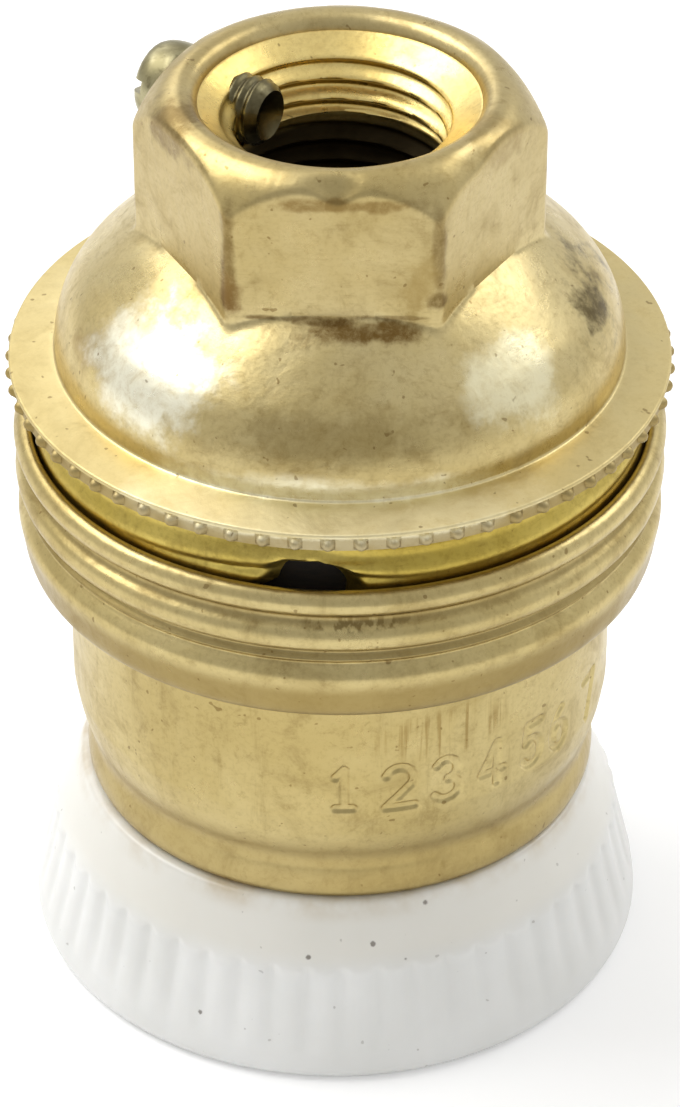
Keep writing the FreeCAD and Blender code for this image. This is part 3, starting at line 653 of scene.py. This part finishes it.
bush_around = round_about(168)
bore_z = np.linspace(BUSH_TOP, BUSH_LOW, 120)[:, None]
lead_in = BORE_R + 1.5 * (bore_z - LEAD_IN_Z)
groove = BORE_R + 0.3 * ramp(np.abs(bore_z - 38.6), 0.42, 0.3)
bore = soft_max(np.maximum(entry_thread(bush_around, bore_z), groove), lead_in, 0.3)
nut_hex = hexagon(bush_around, 7.03, 0.4)
nut_r = np.vstack([np.minimum(nut_hex, 6.6), bore, nut_hex, nut_hex])
nut_z = np.vstack([np.full_like(bush_around, 42.2), np.broadcast_to(bore_z, bore.shape),
                   np.full_like(bush_around, BUSH_LOW), np.full_like(bush_around, 41.4)])
bush = skin("entry_bush", turn_rows(nut_r, nut_z, bush_around), bush_brass, "cap",
            sharp=50)
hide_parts("threaded_bush")


# %% [markdown]
# ## Slotted screws
# A screw is a turned shank with a helix, and a head with a slot across it. The slot is made
# in the grid itself: at each radius some columns lie exactly on the slot's two edges, twice,
# once at the top and once at the bottom, which makes its upright walls.

# %% A slotted screw
def slot_columns(radius, half, across=7, beside=14):
    """Angles round a head at one radius, and 1 where the column is in the slot. The slot's edges
    are at the arc sine of half its width over the radius."""
    edge = np.arcsin(np.clip(half / np.maximum(radius, half), 0, 1))
    inner = np.linspace(-1, 1, across)[None, :] * edge
    outer = edge + np.linspace(0, 1, beside)[None, :] * (math.pi - 2 * edge)
    one = np.hstack([inner, outer])
    angles = np.hstack([one, one + math.pi])
    low = np.hstack([np.ones(across), np.zeros(beside)])
    return angles, np.hstack([low, low])[None, :]


def screw(name, shank_r, pitch, shank, head_line, slot_half, slot_deep, place, material,
          body, tip=0.35, turn_slot=0.0, cup=0.12):
    """A screw with its head's underside at zero and its head upwards. shank is its length below
    the head, and head_line the head's outline from its underside's rim to the axis. Its thread
    is a cosine along a helix, and its point is a cone tip deep with a cup in it. place turns the
    points to where the screw lies."""
    head = np.array(head_line, float)
    top = head[-1, 1]
    point_r = shank_r - tip
    steps = max(int(shank / pitch * 8), 8)
    z = np.linspace(-shank, 0, steps)[:, None]
    angles, _ = slot_columns(np.full((steps, 1), shank_r), slot_half)
    thread = 0.5 + 0.5 * np.cos(2 * math.pi * (z / pitch - angles / (2 * math.pi)))
    r = shank_r - 0.13 * thread * (z < -0.15)
    r = np.minimum(r, point_r + z + shank)
    rows = [turn_rows(0.0, cup - shank, angles[:1]),
            turn_rows(0.62 * point_r, cup * 0.8 - shank, angles[:1]),
            turn_rows(r, z, angles)]
    radius, height = head[:, :1], head[:, 1:]
    angles, low = slot_columns(radius, slot_half)
    floor = np.minimum(height, top - slot_deep)
    rows.append(turn_rows(radius, np.where(low > 0, floor, height), angles))
    grid = np.vstack(rows)
    c, s = math.cos(turn_slot), math.sin(turn_slot)
    grid = np.stack([grid[..., 0] * c - grid[..., 1] * s, grid[..., 0] * s + grid[..., 1] * c,
                     grid[..., 2]], -1)
    return skin(name, place(grid), material, body, close_rows=False, poles=True)


def lie_along(angle, start, height):
    """Turns a screw's own up into the level direction at angle, its zero at start from Z."""
    c, s = math.cos(math.radians(angle)), math.sin(math.radians(angle))

    def place(grid):
        out, side, up = grid[..., 2] + start, grid[..., 0], grid[..., 1]
        return np.stack([out * c - side * s, out * s + side * c, up + height], -1)
    return place


def hang_below(x, height):
    """Turns a screw's own up downwards, its zero at height."""
    def place(grid):
        return np.stack([grid[..., 0] + x, -grid[..., 1], height - grid[..., 2]], -1)
    return place


pan = flow([(1.7, 0.0), (1.88, 0.15), (1.92, 0.7), (1.86, 1.2), (1.66, 1.62), (1.3, 1.85),
            (0.8, 1.93), (0.3, 1.95), (0.05, 1.95)], 4)
set_screw = screw("grub_set_screw", 1.47, 0.5, 4.15, pan, 0.275, 0.7,
                  lie_along(150, 7.63, 40.45), tip_plating, "set_screw",
                  tip=0.38, turn_slot=0.3, cup=0.5)
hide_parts("set_screw")

# %% The inner screws
cheese = [(1.75, 0.0), (1.9, 0.12), (1.9, 1.05), (1.8, 1.2), (0.9, 1.2), (0.3, 1.2), (0.05, 1.2)]
for side, word in ((1, "live"), (-1, "neutral")):
    piece = screw(word + "_clamp_screw", 1.22, 0.5, 1.9, cheese, 0.25, 0.5,
                  lie_along(0 if side > 0 else 180, 9.2, 26.66), screw_plating,
                  word + "_screw", turn_slot=0.5 * side)
    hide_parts(word + "_terminal_screw")
low_head = [(1.65, 0.0), (1.75, 0.1), (1.75, 0.7), (1.65, 0.8), (0.9, 0.8), (0.3, 0.8), (0.05, 0.8)]
for side, word in ((1, "leaf"), (-1, "shell")):
    piece = screw(word + "_low_screw", 1.0, 0.5, 4.6, low_head, 0.2, 0.35,
                  hang_below(5.0 * side, 19.5), screw_plating, "core",
                  turn_slot=0.9 * side)
    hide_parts(word + "_fixing_screw")

# %% [markdown]
# ## The barrel
# The barrel screws up over the skirt. Three rolled ridges stiffen its rim, a step leads to a
# plain cylinder, and its lower end curls in over the porcelain. Plain figures are pressed into
# the cylinder: a figure is a few straight strokes, and the wall sinks near each stroke.

# %% Figures as strokes
WALL_R, TOOL, PRESSED = 12.05, 0.2, 0.13


def bend(cx, cy, rx, ry, start, stop, count=9):
    """Short straight strokes along an ellipse."""
    a = np.radians(np.linspace(start, stop, count))
    p = np.stack([cx + rx * np.cos(a), cy + ry * np.sin(a)], 1)
    return np.hstack([p[:-1], p[1:]])


def strokes(*points):
    """Straight strokes from point to point."""
    p = np.array(points, float)
    return np.hstack([p[:-1], p[1:]])


FIGURES = [
    np.vstack([strokes((0.3, 0.8), (0.55, 1.0), (0.55, 0.0)), strokes((0.3, 0), (0.8, 0))]),
    np.vstack([bend(0.45, 0.7, 0.38, 0.3, 160, -35), strokes((0.76, 0.53), (0.08, 0)),
               strokes((0.08, 0), (0.86, 0))]),
    np.vstack([bend(0.42, 0.74, 0.34, 0.26, 150, -80), bend(0.42, 0.26, 0.4, 0.26, 80, -150)]),
    np.vstack([strokes((0.6, 0.0), (0.6, 1.0), (0.05, 0.3), (0.85, 0.3))]),
    np.vstack([strokes((0.8, 1.0), (0.2, 1.0), (0.14, 0.55)),
               bend(0.4, 0.32, 0.4, 0.32, 125, -145, 12)]),
    np.vstack([bend(0.45, 0.3, 0.36, 0.3, 0, 360, 13), bend(0.75, 0.35, 0.66, 0.65, 108, 180)]),
    np.vstack([strokes((0.08, 1.0), (0.85, 1.0), (0.35, 0.0))]),
]
# for each figure: the angle of its left side, its width in degrees, its foot and its height
PLACES = [(-91.0, 7.0, 14.1, 2.1), (-79.2, 7.8, 14.0, 2.15), (-68.6, 7.2, 13.95, 2.15),
          (-57.6, 6.8, 13.9, 2.2), (-46.6, 6.4, 13.9, 2.2), (-38.0, 6.4, 13.8, 2.15),
          (-25.6, 7.0, 13.75, 2.15)]


def figure_depth(angle, height):
    """How far the wall sinks, 0 to 1: one minus the smooth step of the distance to the nearest
    stroke, from half the tool's width to 1.4 times it."""
    x, z = np.broadcast_arrays(np.degrees(angle), height)
    best = np.full(x.shape, 9.0)
    per_degree = math.radians(1) * WALL_R
    for lines, (left, wide, foot, tall) in zip(FIGURES, PLACES):
        u, v = (x - left) * per_degree, z - foot
        size = np.array([wide * per_degree, tall, wide * per_degree, tall])
        for x0, z0, x1, z1 in lines * size:
            dx, dz = x1 - x0, z1 - z0
            t = np.clip(((u - x0) * dx + (v - z0) * dz) / (dx * dx + dz * dz + 1e-9), 0, 1)
            best = np.minimum(best, np.hypot(u - x0 - t * dx, v - z0 - t * dz))
    return 1 - ramp(best, TOOL * 0.5, TOOL * 1.4)


# %% The barrel's skin
# columns are close together where the figures are, and wide elsewhere
dense = np.arange(-94, -14, 0.28)
sparse = np.linspace(-14, 266, 150)[:-1]
barrel_around = np.radians(np.concatenate([dense, sparse]))[None, :]
rim = flow([(13.44, 26.60), (13.49, 26.84), (13.64, 26.95), (13.84, 26.93), (14.08, 26.76),
            (14.24, 26.42), (14.12, 26.02), (13.78, 25.74), (13.68, 25.54), (13.78, 25.30),
            (14.10, 25.02), (14.23, 24.62), (14.10, 24.20), (13.76, 23.95), (13.67, 23.78),
            (13.80, 23.62), (13.90, 23.50), (13.80, 23.38), (13.74, 23.24), (13.92, 23.02),
            (14.13, 22.72), (14.18, 22.40), (14.12, 22.0), (14.04, 21.5), (13.96, 21.0),
            (13.82, 20.62), (13.55, 20.42), (13.1, 20.36), (12.5, 20.34), (12.2, 20.22),
            (12.08, 19.95)], 3)
plain_top = straight((WALL_R, 19.6), (WALL_R, 16.5), 14)
figure_band = straight((WALL_R, 16.4), (WALL_R, 13.55), 56)
foot = flow([(12.04, 13.4), (11.98, 13.0), (11.88, 12.4), (11.74, 11.85), (11.60, 11.4),
             (11.46, 11.05), (11.36, 10.75), (11.32, 10.5), (11.34, 10.22), (11.42, 9.95),
             (11.5, 9.6), (11.53, 9.25), (11.50, 8.9), (11.40, 8.66)], 3)
wall_line = np.vstack([rim, plain_top, figure_band, foot])
back = np.array([(11.1, 8.62), (11.0, 8.9), (11.12, 9.3), (10.95, 9.8), (10.76, 10.5),
                 (11.0, 11.3), (11.45, 12.4), (11.65, 13.6), (11.65, 20.0), (11.68, 20.7),
                 (13.39, 20.75), (13.39, 22.2), (13.39, 23.8), (13.39, 25.4), (13.40, 26.5)])
sunk = np.zeros((len(wall_line), barrel_around.shape[1]))
first = len(rim) + len(plain_top)
band = slice(first, first + len(figure_band))
sunk[band] = figure_depth(barrel_around, figure_band[:, 1:])
line = np.vstack([wall_line, back])
depth = np.vstack([sunk, np.zeros((len(back), barrel_around.shape[1]))])
barrel_grid = turn_rows(line[:, :1] - PRESSED * depth, line[:, 1:], barrel_around)
barrel = skin("ridged_barrel", barrel_grid, barrel_brass, "barrel", sharp=60)
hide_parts("barrel")

# %% [markdown]
# ## The porcelain ring
# The ring was moulded, so its flutes are soft: each starts with a round end below the shoulder
# and fades towards the foot. They are a wave round the ring, times an envelope down its side.

# %% The ring's skin
FLUTES, FLUTE_DEEP, RING_OFF = 52, 0.12, 0.2
ring_around = round_about(FLUTES * 14)
side_line = np.vstack([
    flow([(10.4, 8.45), (11.2, 8.5), (11.62, 8.42), (11.78, 8.1), (11.98, 7.6), (12.2, 7.05),
          (12.40, 6.55), (12.56, 6.15), (12.70, 5.88), (12.82, 5.68), (12.90, 5.48)], 3),
    straight((12.93, 5.35), (13.86, 1.5), 30),
    arc((13.35, 0.62), 0.62, 10, -88, 14)])
hidden = np.vstack([
    straight((13.0, 0.0), (12.5, 0.0), 2), arc((12.45, 0.45), 0.45, -95, -178, 6),
    flow([(11.9, 0.9), (11.5, 2.3), (10.9, 3.9), (10.2, 5.4), (9.5, 6.5), (9.15, 7.1)], 3),
    straight((9.15, 7.6), (9.15, 13.3), 4), straight((9.4, 13.52), (10.6, 13.52), 3),
    flow([(10.86, 13.4), (11.0, 13.1), (11.0, 12.5), (10.95, 12.05), (10.7, 11.6),
          (10.45, 11.35)], 2),
    straight((10.4, 11.2), (10.4, 8.8), 3)])
flute_part = (ring_around * FLUTES / (2 * math.pi)) % 1 - 0.5
wave = np.cos(2 * math.pi * flute_part)
rib = 1 - np.exp(-(np.abs(flute_part) / 0.16) ** 2)
height = side_line[:, 1:]
fade = ramp(height, 5.6, 5.0) * ramp(height, 0.4, 3.4)
bead_at = np.exp(-((height - 5.42) / 0.22) ** 2)
out = -FLUTE_DEEP * (0.5 + 0.5 * wave) ** 1.5 * fade + (0.13 * rib - 0.08) * bead_at
ring_r = np.vstack([side_line[:, :1] + out,
                    np.broadcast_to(hidden[:, :1], (len(hidden), FLUTES * 14))])
ring_z = np.vstack([side_line, hidden])[:, 1:]
ring_grid = turn_rows(ring_r, ring_z, ring_around)
ring_grid[..., 0] -= RING_OFF        # the ring sits loosely, a little to the left
ring = skin("fluted_ring", ring_grid, glazed_porcelain, "ring")
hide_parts("porcelain_ring")

# %% [markdown]
# ## The lamp's thread shell
# The lamp screws into a shell rolled from thin brass, with the round knuckle thread that all
# lamp caps share. Its wall is a cosine wave along a helix, and its floor is left open beside the
# spring leaf of the centre contact.

# %% The shell
LAMP_PITCH = 2.822
shell_around = round_about(120)
shell_z = np.linspace(19.8, 3.35, 112)[:, None]
knuckle = 0.5 + 0.5 * np.cos(2 * math.pi * (shell_z / LAMP_PITCH - shell_around / (2 * math.pi)))
blend = ramp(shell_z, 12.9, 11.6) * ramp(shell_z, 3.4, 4.2)
shell_r = 7.0 - 0.8 * knuckle * blend
lip_line = np.array([(6.3, 19.5), (6.3, 19.8)])
shell_rows = np.vstack([lip_line[1:, :1] + 0 * shell_around, shell_r + 0.29, shell_r[::-1][:-2],
                        lip_line[:1, :1] + 0 * shell_around])
shell_heights = np.vstack([lip_line[1:, 1:], shell_z, shell_z[::-1][:-2], lip_line[:1, 1:]])
shell = skin("lamp_shell_wall", turn_rows(shell_rows, shell_heights, shell_around), contact_brass,
             "core")
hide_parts("lamp_thread_shell")
floor_arc = np.radians(np.linspace(42, 318, 60))[None, :]
floor_line = np.array([(6.9, 19.79), (3.9, 19.79), (3.9, 19.51), (6.9, 19.51)])
shell_floor = skin("lamp_shell_floor", turn_rows(floor_line[:, :1], floor_line[:, 1:], floor_arc),
                   contact_brass, "core", close_columns=False)
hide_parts("lamp_thread_shell")

# %% [markdown]
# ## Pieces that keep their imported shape
# The porcelain core, the terminals, the leaf and the liner are already right, so they only get
# their finishes.

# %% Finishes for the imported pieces
KEPT = {"porcelain_core": plain_porcelain, "insulating_liner": liner_shade_board,
        "contact_leaf": spring_brass, "centre_contact": contact_brass,
        "live_terminal": terminal_brass, "neutral_terminal": terminal_brass}
for node, finish in KEPT.items():
    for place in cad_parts[node].material_slots:
        place.material = finish

# %% [markdown]
# ## Floor, light and camera
# The holder stands on a white table. A broad soft lamp hangs over its left shoulder, a smaller one
# over its right, and one stands behind. The room is darker in front, which gives polished metal
# its dark middle.

# %% The floor
floor_material = bpy.data.materials.new("table_finish")
n = Nodes(floor_material)
n.shader.inputs["Base Color"].default_value = (0.9, 0.9, 0.9, 1)
n.shader.inputs["Roughness"].default_value = 0.9
glow = n.tree.nodes.new("ShaderNodeEmission")
rays = n.tree.nodes.new("ShaderNodeLightPath")
seen = n.sum("ADD", n.sum("MULTIPLY", rays.outputs["Is Camera Ray"], 0.22),
             n.sum("MULTIPLY", rays.outputs["Is Glossy Ray"], 0.14))
n.put(glow.inputs["Strength"], seen)
both = n.tree.nodes.new("ShaderNodeAddShader")
n.put(both.inputs[0], n.shader.outputs[0])
n.put(both.inputs[1], glow.outputs[0])
n.put(n.tree.nodes["Material Output"].inputs["Surface"], both.outputs[0])
span = 1.5
mesh = bpy.data.meshes.new("table")
mesh.from_pydata([(-span, -span, 0), (span, -span, 0), (span, span, 0), (-span, span, 0)], [],
                 [(0, 1, 2, 3)])
mesh.materials.append(floor_material)
table = bpy.data.objects.new("table", mesh)
bpy.context.scene.collection.objects.link(table)

# %% The world
def room(base=0.78, front=0.24):
    """A white room. Its level is base, less front where the way to the light lies near the way
    towards the viewer and a little up. Seen directly it is plain white."""
    world = bpy.data.worlds.new("studio")
    bpy.context.scene.world = world
    world.use_nodes = True
    tree = world.node_tree

    def put(kind, operation, *values):
        node = tree.nodes.new("ShaderNode" + kind)
        if operation:
            node.operation = operation
        for socket, value in zip(node.inputs, values):
            if isinstance(value, bpy.types.NodeSocket):
                tree.links.new(value, socket)
            else:
                socket.default_value = value
        return node

    sky = tree.nodes["Background"]
    sky.inputs["Color"].default_value = (1, 1, 1, 1)
    path = put("LightPath", None)
    direct = put("Math", "MAXIMUM", path.outputs["Is Camera Ray"],
                 path.outputs["Is Transmission Ray"]).outputs[0]
    way = put("TexCoord", None).outputs["Generated"]
    near = put("VectorMath", "DOT_PRODUCT", way, (0.0, -0.91, 0.41)).outputs["Value"]
    dark = put("MapRange", None, near, 0.45, 0.95, 0.0, front).outputs["Result"]
    lit = put("Math", "SUBTRACT", base, dark).outputs[0]
    strength = put("Mix", None, direct)
    tree.links.new(lit, strength.inputs[2])
    strength.inputs[3].default_value = 1.0
    tree.links.new(strength.outputs[0], sky.inputs["Strength"])


room()

# %% The lamps
def soft_lamp(name, place, aim, size, level_seen):
    """A flat lamp that faces aim. Its power is the level it shows, times pi, times its area."""
    data = bpy.data.lights.new(name, "AREA")
    data.shape = "RECTANGLE"
    data.size, data.size_y = size
    data.energy = level_seen * math.pi * size[0] * size[1]
    lamp = bpy.data.objects.new(name, data)
    bpy.context.scene.collection.objects.link(lamp)
    lamp.location = place
    back = np.array(place) - np.array(aim)
    lamp.rotation_euler = Vector(back).to_track_quat("Z", "Y").to_euler()


target = (0, 0, 0.025)
# place, size and the level it shows
soft_lamp("key_lamp", (-0.32, 0.10, 0.50), target, (0.40, 0.38), 3.7)
soft_lamp("right_lamp", (0.36, 0.24, 0.42), target, (0.30, 0.24), 2.2)
soft_lamp("back_lamp", (-0.26, 0.50, 0.38), target, (0.36, 0.24), 1.4)

# %% The camera
camera_data = bpy.data.cameras.new("camera")
camera_data.lens, camera_data.sensor_width = 147.06, 36
camera_data.clip_start, camera_data.clip_end = 0.01, 10
camera = bpy.data.objects.new("camera", camera_data)
bpy.context.scene.collection.objects.link(camera)
azimuth, elevation, distance, aim_z = math.radians(2), math.radians(35.84), 0.2019, 0.01898
back_way = Vector((math.sin(azimuth) * math.cos(elevation),
                   -math.cos(azimuth) * math.cos(elevation), math.sin(elevation)))
camera.location = Vector((0, 0, aim_z)) + back_way * distance
camera.rotation_euler = back_way.to_track_quat("Z", "Y").to_euler()
bpy.context.scene.camera = camera
bpy.context.scene.view_settings.view_transform = "Standard"
